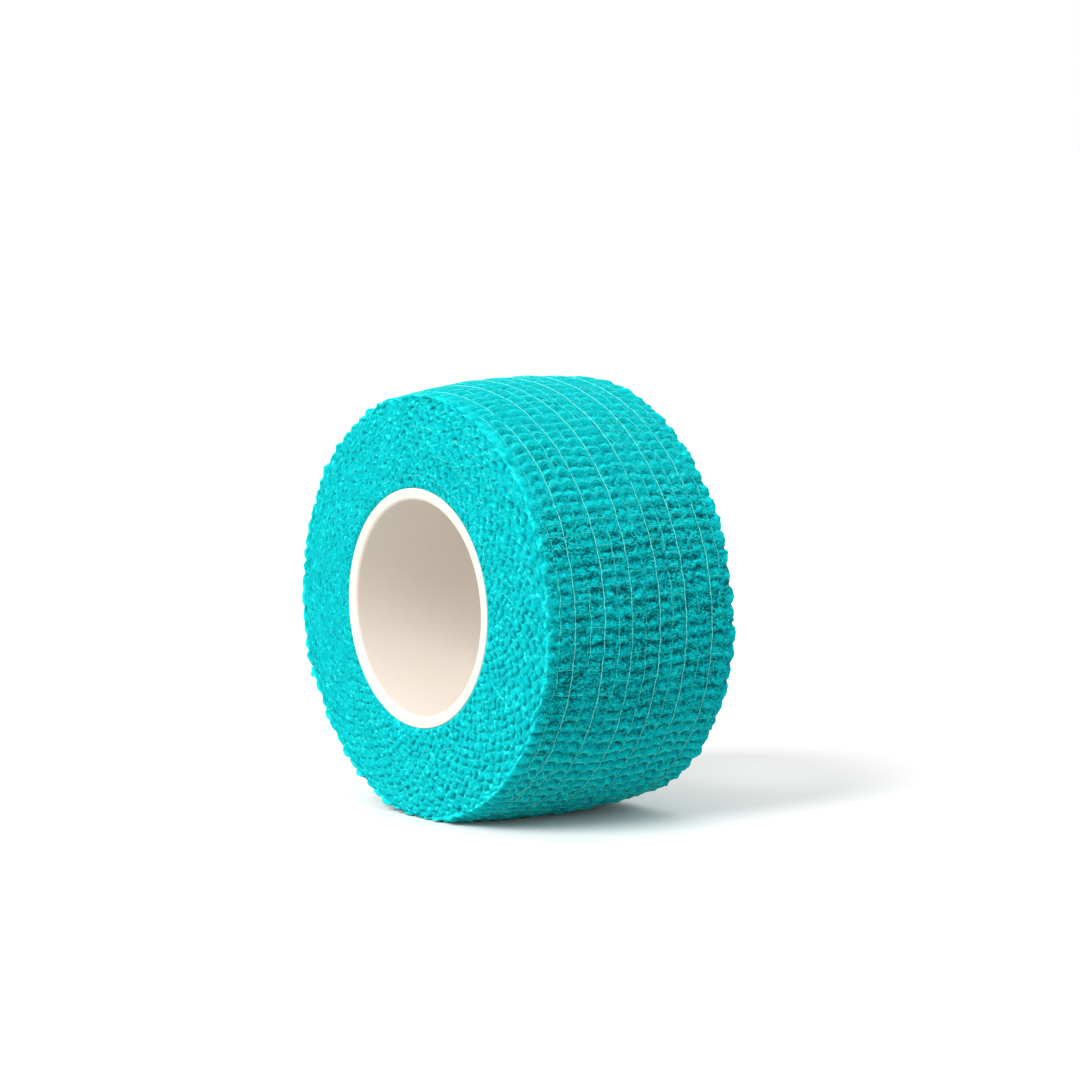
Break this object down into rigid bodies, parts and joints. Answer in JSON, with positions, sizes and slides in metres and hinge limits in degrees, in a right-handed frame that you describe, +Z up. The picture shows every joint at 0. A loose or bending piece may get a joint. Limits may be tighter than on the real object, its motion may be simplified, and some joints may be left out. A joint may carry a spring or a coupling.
{
  "type": "cohesive bandage roll",
  "caption": "Narrow roll of crinkled elastic bandage tape wound on an open plastic core, standing on its curved side.",
  "frame": {"origin": "middle of the footprint, on the surface that the roll stands on", "axes": "+Z up, +Y along the roll's axis from the near end face to the far one"},
  "size_m": [0.0462, 0.025, 0.0458],
  "materials": {
    "bandage": "matt crinkled nonwoven with pale elastic threads",
    "core": "smooth moulded, warm white"
  },
  "bodies": {
    "root": {"bandage": "bandage", "core": "core"}
  },
  "joints": []
}
